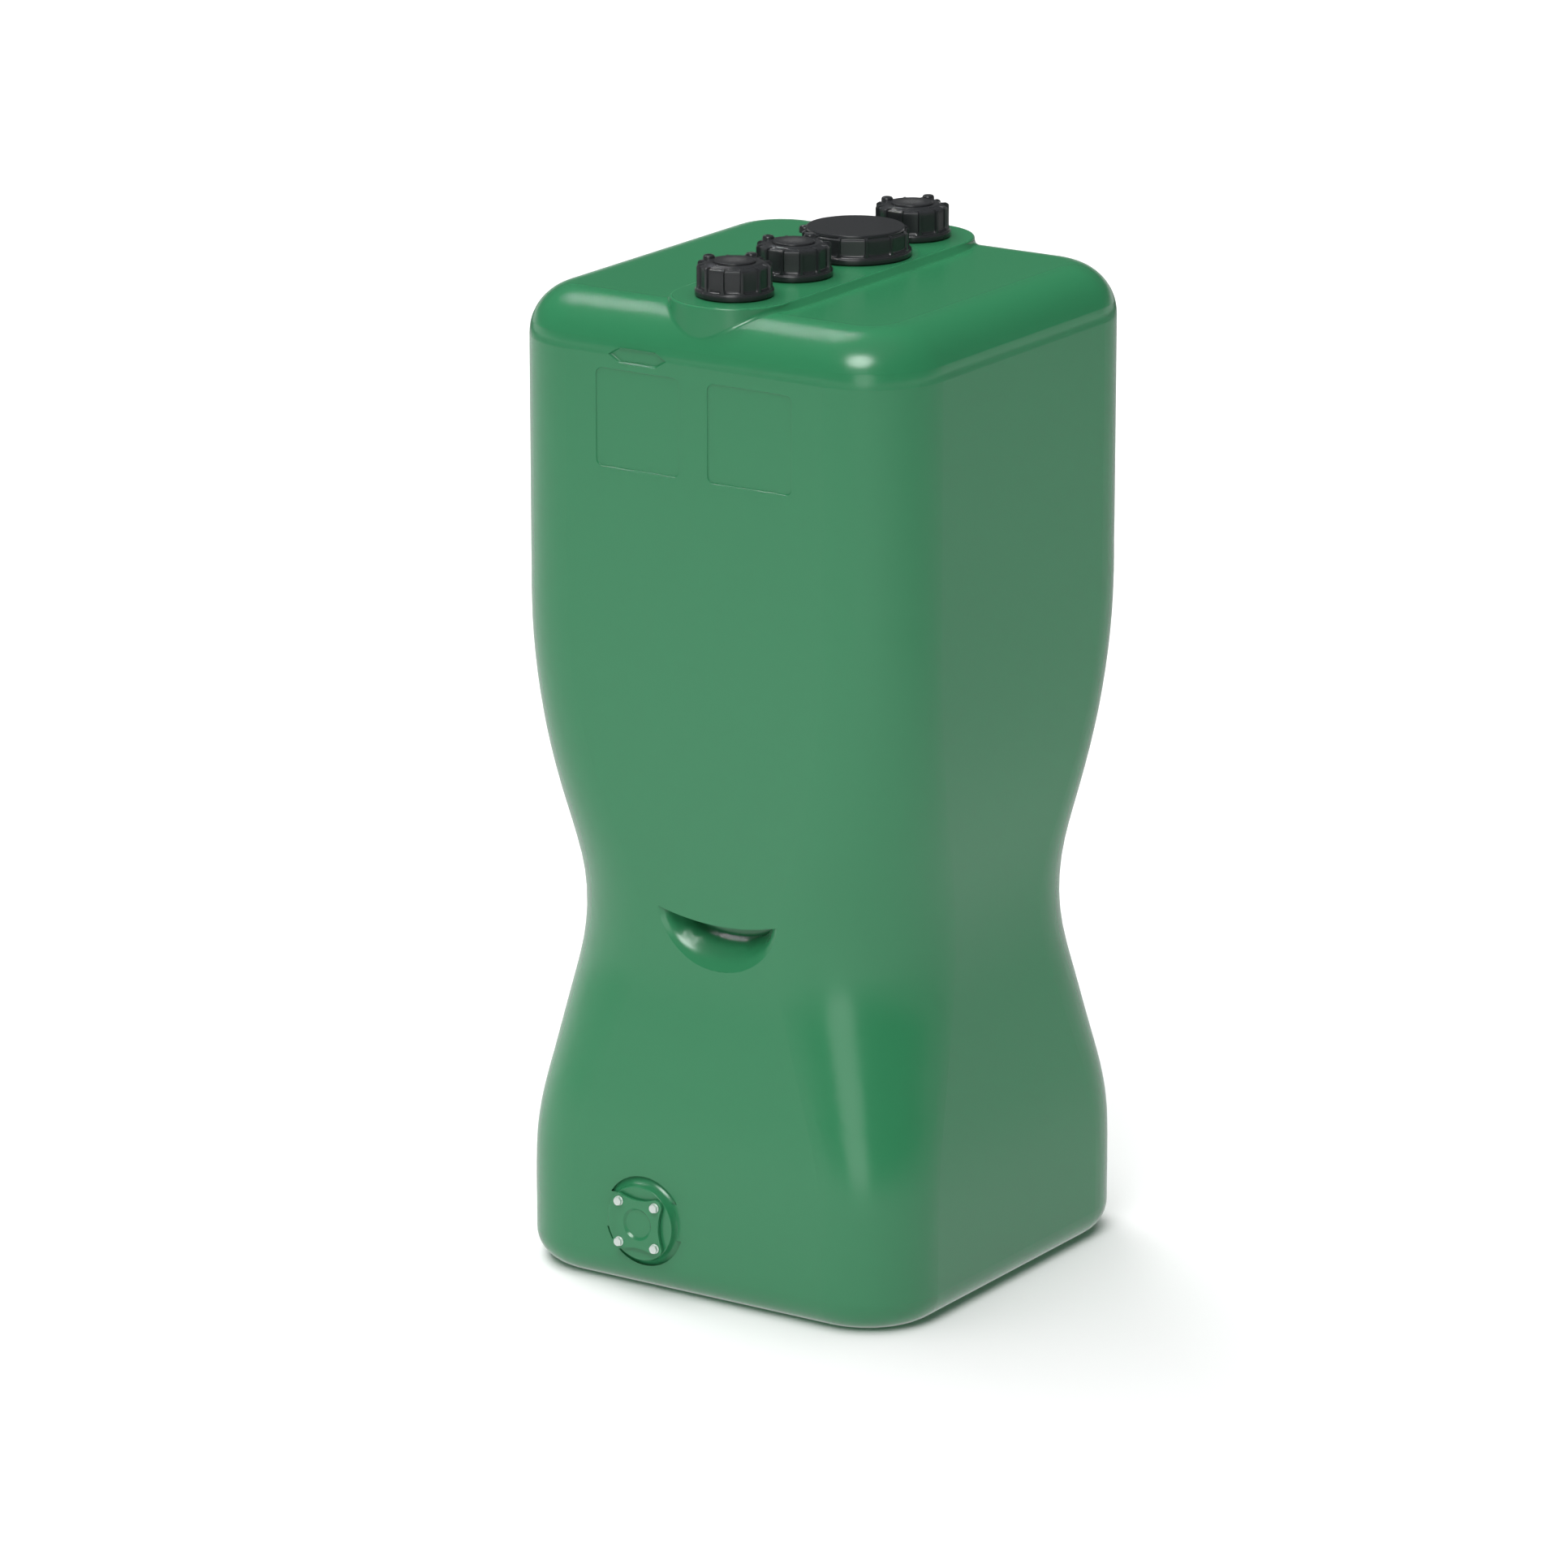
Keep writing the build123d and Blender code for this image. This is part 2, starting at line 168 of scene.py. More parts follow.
def finish_node(name, slot):
    """Gives a CAD node its finish and leaves its shape alone."""
    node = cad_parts[name]
    node.data.materials.clear()
    node.data.materials.append(material_for(slot))


# Shapes

def middle(name):
    """The middle of a CAD node's box."""
    low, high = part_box(name)
    return (Vector(low) + Vector(high)) / 2


def rounded(corners, steps=ROUND_STEPS):
    """A closed outline in millimetres; each corner (x, y, radius) is rounded off in a few steps."""
    outline = []
    for number, (x, y, radius) in enumerate(corners):
        corner = Vector((x, y))
        back = (Vector(corners[number - 1][:2]) - corner).normalized()
        ahead = (Vector(corners[(number + 1) % len(corners)][:2]) - corner).normalized()
        half = back.angle(ahead) / 2
        centre = corner + (back + ahead).normalized() * radius / math.sin(half)
        start = corner + back * radius / math.tan(half) - centre
        end = corner + ahead * radius / math.tan(half) - centre
        turn = math.atan2(start.x * end.y - start.y * end.x, start.dot(end))
        for step in range(steps + 1):
            spun = Matrix.Rotation(turn * step / steps, 2) @ start
            outline.append(centre + spun)
    return outline


def smooth(value):
    """0 below 0, 1 above 1, and an even S between."""
    value = min(1.0, max(0.0, value))
    return value * value * (3 - 2 * value)


def new_piece(name, mesh):
    """A new object at the origin, linked into the scene."""
    piece = bpy.data.objects.new(name, mesh)
    bpy.context.scene.collection.objects.link(piece)
    return piece


def mesh_of_rows(name, rows, closed_rows):
    """A smooth mesh through rows of points; the first and last row meet where closed_rows is set."""
    shape = bmesh.new()
    made = [[shape.verts.new(point) for point in row] for row in rows]
    count = len(rows) if closed_rows else len(rows) - 1
    for number in range(count):
        row, following = made[number], made[(number + 1) % len(rows)]
        for column in range(len(row) - 1):
            shape.faces.new((row[column], row[column + 1], following[column + 1], following[column]))
    for face in shape.faces:
        face.smooth = True
    mesh = bpy.data.meshes.new(name)
    shape.to_mesh(mesh)
    shape.free()
    return mesh


def revolved(name, outline, steps):
    """A turned shape: an outline of (radius, height) in millimetres swept once round the Z axis."""
    turns = [2 * math.pi * step / steps for step in range(steps + 1)]
    rows = [[Vector((r * math.cos(turn), r * math.sin(turn), z)) * MM for turn in turns] for r, z in outline]
    mesh = mesh_of_rows(name, rows, True)
    tidy(mesh)
    return mesh


def tidy(mesh):
    """Welds a mesh where its points meet, closes its ends, turns its faces outwards and keeps hard edges."""
    shape = bmesh.new()
    shape.from_mesh(mesh)
    bmesh.ops.remove_doubles(shape, verts=shape.verts, dist=WELD_DISTANCE)
    bmesh.ops.holes_fill(shape, edges=[edge for edge in shape.edges if edge.is_boundary])
    bmesh.ops.recalc_face_normals(shape, faces=shape.faces)
    for edge in shape.edges:
        edge.smooth = edge.calc_face_angle(0) < HARD_EDGE
    shape.to_mesh(mesh)
    shape.free()


def placed(mesh, *places):
    """One mesh that holds a copy of a mesh at each place."""
    shape = bmesh.new()
    for place in places:
        copy = mesh.copy()
        copy.transform(place)
        shape.from_mesh(copy)
        bpy.data.meshes.remove(copy)
    whole = bpy.data.meshes.new(mesh.name)
    shape.to_mesh(whole)
    shape.free()
    return whole


def joined(name, *meshes):
    """One mesh that holds all the meshes given."""
    shape = bmesh.new()
    for mesh in meshes:
        shape.from_mesh(mesh)
    whole = bpy.data.meshes.new(name)
    shape.to_mesh(whole)
    shape.free()
    return whole


def add_input(tree, name, kind, default=None):
    """A named input of a geometry tree."""
    socket = tree.interface.new_socket(name, in_out="INPUT", socket_type=kind)
    if default is not None:
        socket.default_value = default
    return socket


def new_geometry_tree(name):
    """A geometry tree with its geometry input and output, and the group's own input node."""
    tree = bpy.data.node_groups.new(name, "GeometryNodeTree")
    add_input(tree, "Geometry", "NodeSocketGeometry")
    tree.interface.new_socket("Geometry", in_out="OUTPUT", socket_type="NodeSocketGeometry")
    return tree


def ring_of_sectors():
    """Repeats a sector of a cap round the Z axis and welds the sectors into one skin."""
    tree = bpy.data.node_groups.get("ring_of_sectors")
    if tree:
        return tree
    tree = new_geometry_tree("ring_of_sectors")
    add_input(tree, "Sectors", "NodeSocketInt", 12)
    add_input(tree, "Weld distance", "NodeSocketFloat", 0.00003)
    add_input(tree, "Material", "NodeSocketMaterial")
    given = add_node(tree, "NodeGroupInput").outputs
    centres = add_node(tree, "GeometryNodeMeshLine", {"Count": given["Sectors"], "Offset": (0, 0, 0)})
    step = add_node(tree, "ShaderNodeMath", {0: math.tau, 1: given["Sectors"]}, operation="DIVIDE")
    number = add_node(tree, "GeometryNodeInputIndex")
    turn = add_node(tree, "ShaderNodeMath", {0: number.outputs["Index"], 1: step.outputs["Value"]},
                    operation="MULTIPLY")
    spin = add_node(tree, "ShaderNodeCombineXYZ", {"Z": turn.outputs["Value"]})
    copies = add_node(tree, "GeometryNodeInstanceOnPoints", {"Points": centres.outputs["Mesh"],
                                                            "Instance": given["Geometry"]})
    turned = add_node(tree, "GeometryNodeRotateInstances", {"Instances": copies.outputs["Instances"],
                                                           "Rotation": spin.outputs["Vector"]})
    real = add_node(tree, "GeometryNodeRealizeInstances", {"Geometry": turned.outputs["Instances"]})
    welded = add_node(tree, "GeometryNodeMergeByDistance", {"Geometry": real.outputs["Geometry"],
                                                           "Distance": given["Weld distance"]})
    finished = add_node(tree, "GeometryNodeSetMaterial", {"Geometry": welded.outputs["Geometry"],
                                                         "Material": given["Material"]})
    add_node(tree, "NodeGroupOutput", {"Geometry": finished.outputs["Geometry"]})
    return tree


def bolts_on_a_square():
    """Sets a bolt on each corner of a square that faces the front, each turned by a seeded chance."""
    tree = bpy.data.node_groups.get("bolts_on_a_square")
    if tree:
        return tree
    tree = new_geometry_tree("bolts_on_a_square")
    add_input(tree, "Spacing", "NodeSocketFloat", 0.069)
    add_input(tree, "Centre", "NodeSocketVector")
    add_input(tree, "Seed", "NodeSocketInt", 3)
    add_input(tree, "Material", "NodeSocketMaterial")
    given = add_node(tree, "NodeGroupInput").outputs
    square = add_node(tree, "GeometryNodeMeshGrid", {"Size X": given["Spacing"], "Size Y": given["Spacing"],
                                                    "Vertices X": 2, "Vertices Y": 2})
    chance = add_node(tree, "FunctionNodeRandomValue", {"Max": math.tau, "Seed": given["Seed"]}, data_type="FLOAT")
    spin = add_node(tree, "ShaderNodeCombineXYZ", {"Z": chance.outputs["Value"]})
    copies = add_node(tree, "GeometryNodeInstanceOnPoints", {"Points": square.outputs["Mesh"],
                                                            "Instance": given["Geometry"],
                                                            "Rotation": spin.outputs["Vector"]})
    real = add_node(tree, "GeometryNodeRealizeInstances", {"Geometry": copies.outputs["Instances"]})
    upright = add_node(tree, "GeometryNodeTransform", {"Geometry": real.outputs["Geometry"],
                                                      "Translation": given["Centre"],
                                                      "Rotation": (math.radians(90), 0, 0)})
    finished = add_node(tree, "GeometryNodeSetMaterial", {"Geometry": upright.outputs["Geometry"],
                                                         "Material": given["Material"]})
    add_node(tree, "NodeGroupOutput", {"Geometry": finished.outputs["Geometry"]})
    return tree


def grown(name, mesh, tree, **values):
    """The plain mesh that a geometry tree makes from a start mesh; values are its inputs by name."""
    start = new_piece(name, mesh)
    modifier = start.modifiers.new("grow", "NODES")
    modifier.node_group = tree
    sockets = {item.name: item.identifier for item in tree.interface.items_tree if item.in_out == "INPUT"}
    for key, value in values.items():
        modifier[sockets[key.replace("_", " ")]] = value
    bpy.context.view_layer.update()
    evaluated = start.evaluated_get(bpy.context.evaluated_depsgraph_get())
    result = bpy.data.meshes.new_from_object(evaluated)
    bpy.data.objects.remove(start)
    result.name = name
    return result


def finish_piece(name, mesh, slot, *nodes):
    """Puts a finished mesh in the scene, in place of the CAD nodes named; it rides on the tank's one body."""
    mesh.materials.clear()
    mesh.materials.append(material_for(slot))
    piece = new_piece(name, mesh)
    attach(piece, "root")
    if nodes:
        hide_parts(*nodes)
    return piece


# Neck caps: heights are above the face of the cap's foot

def cap_sector(name, cap, lip):
    """One sector of a cap from rib to rib: a flat window between two half ribs that wrap over the
    shoulder, over the collar at the foot. lip is the outline of the top, from the shoulder inwards.
    Two outlines, one through a rib and one through a window, have the same number of points, and each
    row of the mesh goes from rib to rib between them."""
    top, shoulder = cap.height / MM, cap.shoulder / MM
    panel, rib, collar = cap.panel_radius / MM, cap.rib_radius / MM, cap.collar_radius / MM
    inside, ledge, plate = cap.inside_radius / MM, cap.collar_height / MM, cap.top_thickness / MM
    rib_half, window_corner, sink = cap.rib_width / MM / 2, cap.window_corner / MM, cap.window_sink / MM
    foot = [(inside, 0, 0.4), (collar, 0, 0.9), (collar, ledge, 2.2), (rib, ledge + 1.2, 1.6)]
    crown = [(rib, top - 2.8, 3), (rib - shoulder, top, 2)]
    sunk_crown = [(panel, top - sink - shoulder / 2, 1.2), (panel - shoulder, top - sink, 1.5)]
    inner = [(lip[-1][0], top - plate, 0.4), (inside, top - plate, 0.8)]
    ribbed = rounded(foot + crown + lip + inner)
    sunk = rounded(foot[:-1] + [(panel, ledge + 1.2, 1.6)] + sunk_crown + lip + inner)
    corner_points = ROUND_STEPS + 1
    wall_end = corner_points * len(foot)
    wall_rows, crowding = 10, 1.6

    def with_wall(outline):
        """The outline with more points up its wall, crowded towards the window's lower edge."""
        low, high = outline[wall_end - 1], outline[wall_end]
        between = [low.lerp(high, ((step + 1) / (wall_rows + 1)) ** crowding) for step in range(wall_rows)]
        return outline[:wall_end] + between + outline[wall_end:]

    ribbed, sunk = with_wall(ribbed), with_wall(sunk)
    half_turn = math.pi / cap.ribs
    reach = panel * math.tan(half_turn)
    window_side, window_foot, edge = rib_half * 1.3, ledge + 3.2, 1.1
    columns = [0, 0.5, 0.8, 0.95, 1.1, 1.25, 1.4, 1.6, 1.9, 2.6]  # from the rib's middle, in half ribs
    left = [-reach + rib_half * column for column in columns] + [-reach * 0.3]
    across = left + [-x for x in reversed(left)]
    window_start, window_end = wall_end - corner_points, wall_end + wall_rows + corner_points * len(crown)
    rows = []
    for number, (high, low) in enumerate(zip(ribbed, sunk)):
        on_window = window_start <= number < window_end
        row = []
        for x in across:
            turn = math.atan2(x, panel)
            side = abs(x) - (reach - window_side) + window_corner
            below = (window_foot + window_corner) - high.y
            outside = math.hypot(max(side, 0), max(below, 0)) + min(max(side, below), 0) - window_corner
            depth = 1 - smooth(outside / edge)
            flat = low.x / math.cos(turn) if on_window else low.x
            radius = high.x + depth * (flat - high.x)
            z = high.y + depth * (low.y - high.y)
            row.append(Vector((radius * math.cos(turn), radius * math.sin(turn), z)) * MM)
        rows.append(row)
    return mesh_of_rows(name, rows, True)


def grip_lug(height):
    """A round grip lug with a domed head, which stands on the shoulder."""
    radius, dome = 9.6, 4.2
    outline = rounded([(AXIS, 0, 0), (radius, 0, 0), (radius, height, dome), (AXIS, height, 0)])
    return revolved("grip_lug", outline, 32)


def add_cap(name, cap, lip, lug_radius, lug_height, lug_base, lug_turns, node):
    """A screw cap with its ribs and grip lugs, in the place of its CAD node."""
    start = cap_sector(name, cap, lip)
    ring = grown(name, start, ring_of_sectors(), Sectors=cap.ribs, Material=material_for("black_polypropylene"))
    tidy(ring)
    turns = [Matrix.Rotation(math.radians(turn), 4, "Z") @ Matrix.Translation((lug_radius * MM, 0, lug_base * MM))
             for turn in lug_turns]
    lugs = placed(grip_lug(lug_height), *turns)
    whole = joined(name, ring, lugs)
    low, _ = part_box(node)
    centre = middle(node)
    whole.transform(Matrix.Translation((centre.x, centre.y, low[2])))
    return finish_piece(name, whole, "black_polypropylene", node)


def drawn_in(corners, margin):
    """A convex outline of corners (x, y, radius), moved inwards by a margin."""
    moved = []
    for number, (x, y, radius) in enumerate(corners):
        corner = Vector((x, y))
        back = (Vector(corners[number - 1][:2]) - corner).normalized()
        ahead = (Vector(corners[(number + 1) % len(corners)][:2]) - corner).normalized()
        half = back.angle(ahead) / 2
        spot = corner + (back + ahead).normalized() * margin / math.sin(half)
        moved.append((spot.x, spot.y, max(radius - margin, 0.3)))
    return moved


def recess_rim(name, corners, centre, depth):
    """The moulded edge of a recess in the front: a skin over its sloping wall with a soft foot, all
    round the outline. Sizes are in millimetres."""
    wall = depth * RECESS_SLOPE
    start, end, over, back, corner_steps = -0.45, wall + 1.2, 0.12, depth + 1, 6
    # Each point of the skin's outline is (margin inwards from the edge, depth behind the face)
    skin = [(start, -0.02), (-0.15, -0.07), (0.12, 0.02), (0.3, 0.3 * depth / wall - over)]
    skin += [(wall * part, depth * part - over) for part in (0.5, 0.7, 0.85)]
    skin += [(wall, depth * 0.95 - over), (wall + 0.5, depth - 0.07), (end, depth - 0.03)]
    rows = []
    for margin, sunk in [*skin, (end, back), (start, back)]:
        line = rounded(drawn_in(corners, margin), corner_steps)
        rows.append([Vector((centre[0] + x, FRONT_FACE + sunk, centre[1] + z)) * MM for x, z in [*line, line[0]]])
    mesh = mesh_of_rows(name, rows, True)
    tidy(mesh)
    return mesh


def rectangle(width, height, radius):
    """The corners of an upright rectangle about its middle, each as (x, z, radius)."""
    half, rise = width / 2, height / 2
    return [(half, -rise, radius), (half, rise, radius), (-half, rise, radius), (-half, -rise, radius)]


def ridge_flank(name, side):
    """The sloping flank along one side of the ridge; it runs out round the two round ends. It ends
    under the ridge's surface, before the shoulder's fillet begins."""
    ridge_top, radius, half_length = 1636, 101, 258
    round_off, run_out, turn_steps, side_steps = math.radians(16), 60, 6, 32
    # Outlines across the flank, as (out from the ridge's edge, up from its top): the full slope, and
    # the one at the ends, which lies under the surface
    slope = [(-3.0, -1.4), (-1.6, 0.04), (-0.6, -0.1), (0.1, -0.55),
             (0.9, -1.4), (8.4, -9.2), (9.8, -10.3), (12.6, -11.6)]
    hollow = [(-3.0, -1.4), (-2.4, -0.8), (-1.6, -1.3), (-1.0, -2.2),
              (-0.8, -3.2), (2.4, -8.9), (4.2, -10.8), (9.0, -12)]
    underside = [(12.6, -16), (-3, -16)]
    path = [(-half_length, -round_off * (turn_steps - step) / turn_steps) for step in range(turn_steps + 1)]
    path += [(half_length * (2 * step / side_steps - 1), 0) for step in range(1, side_steps)]
    path += [(half_length, round_off * step / turn_steps) for step in range(turn_steps + 1)]
    rows = []
    for centre, turn in path:
        to_end = half_length - abs(centre) + radius * (round_off - abs(turn))
        full = smooth(to_end / run_out)
        line = [Vector(low).lerp(Vector(high), full) for low, high in zip(hollow, slope)]
        line += [*map(Vector, underside), line[0]]
        rows.append([Vector((side * (radius + x) * math.cos(turn), centre + (radius + x) * math.sin(turn),
                             ridge_top + z)) * MM for x, z in line])
    mesh = mesh_of_rows(name, rows, False)
    tidy(mesh)
    return mesh


def hex_bolt(across_flats):
    """A hexagon bolt on its washer's face, with the turned chamfer of a forged head, and its shank below."""
    radius, head, shank, shank_radius, steps = across_flats / 2, 5.3, 24, 4, 48
    chamfer_start, chamfer_end, top_radius, corner_share, corner_drop = 1.3, 0.25, radius - 1.2, 1.03, 0.9
    # Each level up the bolt is (height, radius, form); the corners of a "bevelled" hexagon lie lower
    levels = [(-shank, shank_radius, "round"), (0, shank_radius, "round"), (0, radius, "hexagon"),
              (head - chamfer_start, radius, "bevelled"), (head - chamfer_end, radius, "clipped"),
              (head, top_radius, "round")]
    shape = bmesh.new()
    rows = []
    for z, size, form in levels:
        row = []
        for step in range(steps):
            turn = math.tau * step / steps
            reach = size
            if form != "round":
                reach = size / math.cos((turn % (math.pi / 3)) - math.pi / 6)
            if form == "bevelled":
                height = z - (reach - size) * corner_drop
            else:
                height = z
            if form == "clipped":
                reach = min(reach, size * corner_share)
            row.append(shape.verts.new(Vector((reach * math.cos(turn), reach * math.sin(turn), height)) * MM))
        rows.append(row)
    for low, high in zip(rows, rows[1:]):
        for step in range(steps):
            following = (step + 1) % steps
            shape.faces.new((low[step], low[following], high[following], high[step]))
    shape.faces.new(rows[-1])
    shape.faces.new(list(reversed(rows[0])))
    mesh = bpy.data.meshes.new("hex_bolt")
    shape.to_mesh(mesh)
    shape.free()
    mesh.transform(Matrix.Translation((0, 0, WASHER_THICKNESS * MM)))
    return mesh


def washer_ring():
    """A flat washer with its stamped edges rounded."""
    hole, rim, hole_edge, rim_edge, top = 4.3, 8, 0.25, 0.35, WASHER_THICKNESS
    outline = [(hole, 0, hole_edge), (rim, 0, rim_edge), (rim, top, rim_edge), (hole, top, hole_edge)]
    return revolved("washer", rounded(outline, 3), 48)


# Sizes and colours a user would change

class TankColours(bpy.types.PropertyGroup):
    body: bpy.props.FloatVectorProperty(name="Body", description="Colour of the blow-moulded body",
                                        subtype="COLOR", size=3, default=linear("#2f7f54")[:3], min=0, max=1)
    caps: bpy.props.FloatVectorProperty(name="Caps", description="Colour of the nuts, plugs and lid",
                                        subtype="COLOR", size=3, default=linear("#2b2d2f")[:3], min=0, max=1)
    gaskets: bpy.props.FloatVectorProperty(name="Gaskets", description="Colour of the rubber gaskets",
                                           subtype="COLOR", size=3, default=linear("#1e1e1f")[:3], min=0, max=1)
    bolts: bpy.props.FloatVectorProperty(name="Bolts", description="Colour of the zinc-plated bolts and washers",
                                         subtype="COLOR", size=3, default=linear("#ecf5f0")[:3], min=0, max=1)


def length(name, description, millimetres):
    """A length property with its default in millimetres."""
    return bpy.props.FloatProperty(name=name, description=description, subtype="DISTANCE", unit="LENGTH",
                                   default=millimetres * MM, min=0)


class UnionNutSizes(bpy.types.PropertyGroup):
    ribs: bpy.props.IntProperty(name="Ribs", description="Ribs round a union nut", default=12, min=3)
    height: length("Height", "From the foot of the nut to its top face", 50)
    panel_radius: length("Window radius", "From the axis to the flat windows between the ribs", 54.8)
    rib_radius: length("Rib radius", "From the axis to the ribs", 60.3)
    rib_width: length("Rib width", "Width of a rib at its foot", 4.6)
    collar_radius: length("Collar radius", "Radius of the collar at the foot", 62.4)
    collar_height: length("Collar height", "Height of the collar at the foot", 8.5)
    inside_radius: length("Thread radius", "Radius of the hollow that takes the neck", 51.2)
    top_thickness: length("Top thickness", "Thickness of the ring that holds the plug down", 5)
    shoulder: length("Shoulder", "Width of the slope between the windows and the top", 4.2)
    window_corner: length("Window corner", "Radius of the windows' lower corners", 4)
    window_sink: length("Window sink", "How far the shoulder dips between two ribs", 1.8)


class ScrewLidSizes(bpy.types.PropertyGroup):
    ribs: bpy.props.IntProperty(name="Ribs", description="Ribs round the screw lid", default=12, min=3)
    height: length("Height", "From the foot of the lid to its shoulder", 41.5)
    panel_radius: length("Window radius", "From the axis to the flat windows between the ribs", 82.2)
    rib_radius: length("Rib radius", "From the axis to the ribs", 87)
    rib_width: length("Rib width", "Width of a rib at its foot", 4.6)
    collar_radius: length("Collar radius", "Radius of the collar at the foot", 90.3)
    collar_height: length("Collar height", "Height of the collar at the foot", 8.5)
    inside_radius: length("Thread radius", "Radius of the hollow that takes the neck", 77.2)
    top_thickness: length("Top thickness", "Thickness of the lid's top", 5.5)
    shoulder: length("Shoulder", "Width of the slope between the windows and the top", 4.2)
    window_corner: length("Window corner", "Radius of the windows' lower corners", 5)
    window_sink: length("Window sink", "How far the shoulder dips between two ribs", 1.8)


class RecessSizes(bpy.types.PropertyGroup):
    label_width: length("Label width", "Width of a label field", 158)
    label_height: length("Label height", "Height of a label field", 160)
    label_corner: length("Label corner", "Radius of a label field's corners", 12)
    label_rise: length("Label middle", "From the floor to the middle of the label fields", 1441)
    label_depth: length("Label depth", "Depth of the label fields", 2)
    offset: length("Offset", "From the tank's middle to the middle of a label field", 105)
    mark_width: length("Mark width", "From point to point of the six-sided marking recess", 110)
    mark_top: length("Mark top", "Width of the marking recess's straight top", 68)
    mark_height: length("Mark height", "Height of the marking recess", 25)
    mark_rise: length("Mark middle", "From the floor to the middle of the marking recess", 1544)
    mark_depth: length("Mark depth", "Depth of the marking recess", 4)


class FlangeSizes(bpy.types.PropertyGroup):
    bolt_spacing: length("Bolt spacing", "Distance between neighbouring bolts", 69)
    head_across_flats: length("Head", "Width of the bolt heads across their flats", 13)
    seed: bpy.props.IntProperty(name="Seed", description="Chance turn of each bolt head", default=3)


class StudioSettings(bpy.types.PropertyGroup):
    azimuth: bpy.props.FloatProperty(name="Azimuth", description="Turn of the camera from straight in front",
                                     subtype="ANGLE", default=math.radians(33.37))
    elevation: bpy.props.FloatProperty(name="Elevation", description="Height angle of the camera above the horizon",
                                       subtype="ANGLE", default=math.radians(16.19))
    distance: bpy.props.FloatProperty(name="Distance", description="From the camera to the point it looks at",
                                      subtype="DISTANCE", unit="LENGTH", default=13.2072)
    lens: bpy.props.FloatProperty(name="Lens", description="Focal length on a 36 mm sensor, in millimetres",
                                  default=187.79)


# Operators

class TANK_OT_body(bpy.types.Operator):
    """Finishes the body: wall, top and floor read as one moulding"""
    bl_idname = "tank.body"
    bl_label = "Body"

    def execute(self, context):
        for name in BODY_NODES:
            finish_node(name, "green_polyethylene")
        return {"FINISHED"}


class TANK_OT_moulded_edges(bpy.types.Operator):
    """Makes the soft moulded edges of the recesses in the front and the sloping flanks of the ridge"""
    bl_idname = "tank.moulded_edges"
    bl_label = "Moulded edges"

    def execute(self, context):
        sizes = context.scene.tank_recesses
        label = rectangle(sizes.label_width / MM, sizes.label_height / MM, sizes.label_corner / MM)
        half, top, rise, corner = sizes.mark_width / MM / 2, sizes.mark_top / MM / 2, sizes.mark_height / MM / 2, 0.6
        mark = [(half, 0, corner), (top, rise, corner), (-top, rise, corner),
                (-half, 0, corner), (-top, -rise, corner), (top, -rise, corner)]
        offset, label_rise, mark_rise = sizes.offset / MM, sizes.label_rise / MM, sizes.mark_rise / MM
        for name, corners, centre, depth in (("left_label_rim", label, (-offset, label_rise), sizes.label_depth),
                                             ("right_label_rim", label, (offset, label_rise), sizes.label_depth),
                                             ("mark_rim", mark, (-offset, mark_rise), sizes.mark_depth)):
            finish_piece(name, recess_rim(name, corners, centre, depth / MM), "green_polyethylene")
        for name, side in (("right_ridge_flank", 1), ("left_ridge_flank", -1)):
            finish_piece(name, ridge_flank(name, side), "green_polyethylene")
        return {"FINISHED"}


class TANK_OT_union_nuts(bpy.types.Operator):
    """Makes the three ribbed union nuts and the blind plugs that stand through them"""
    bl_idname = "tank.union_nuts"
    bl_label = "Union nuts"

    def execute(self, context):
        nut = context.scene.tank_union_nut
        top = nut.height / MM
        ring_height, step_height = 1.8, 0.6
        lip = [(46, top, 0.8), (43, top + ring_height, 0.8), (36.5, top + ring_height, 0.8),
               (35, top + step_height, 0.6), (33.6, top + step_height, 0.5)]
        flange, flange_height, boss, boss_edge, boss_height = 49.9, 4, 33.1, 12.6, 13.45
        disc = rounded([(AXIS, 0, 0), (flange, 0, 0.5), (flange, flange_height, 0.5), (boss, flange_height, 0.5),
                        (boss, boss_edge, 1.3), (31, boss_height, 0.8), (29.5, boss_height, 0),
                        (AXIS, boss_height, 0)])
        lug_radius, lug_height, lug_base, lug_turns = 48, 12, top - 5.4, (180, 90)
        for place in SMALL_NECKS:
            add_cap(f"{place}_nut", nut, lip, lug_radius, lug_height, lug_base, lug_turns, f"{place}_union_nut")
            plug = revolved(f"{place}_plug", disc, 96)
            low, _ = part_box(f"{place}_blind_plug")
            centre = middle(f"{place}_blind_plug")
            plug.transform(Matrix.Translation((centre.x, centre.y, low[2])))
            finish_piece(f"{place}_plug", plug, "black_polypropylene", f"{place}_blind_plug")
        return {"FINISHED"}


class TANK_OT_screw_lid(bpy.types.Operator):
    """Makes the ribbed screw lid of the inspection neck"""
    bl_idname = "tank.screw_lid"
    bl_label = "Screw lid"

    def execute(self, context):
        lid = context.scene.tank_screw_lid
        top = lid.height / MM
        rim_height, disc_height = 3.3, 3.95
        lip = [(79.6, top, 0.5), (78.7, top + rim_height, 1.6), (77, top + disc_height, 0.8),
               (75, top + disc_height, 0), (AXIS, top + disc_height, 0)]
        lug_radius, lug_height, lug_base, lug_turns = 80.5, 11, top - 8.2, (210,)
        add_cap("large_lid", lid, lip, lug_radius, lug_height, lug_base, lug_turns, "large_screw_lid")
        return {"FINISHED"}


class TANK_OT_gaskets(bpy.types.Operator):
    """Finishes the gaskets under the caps and under the flange cover"""
    bl_idname = "tank.gaskets"
    bl_label = "Gaskets"

    def execute(self, context):
        for name in GASKET_NODES:
            finish_node(name, "black_rubber")
        return {"FINISHED"}


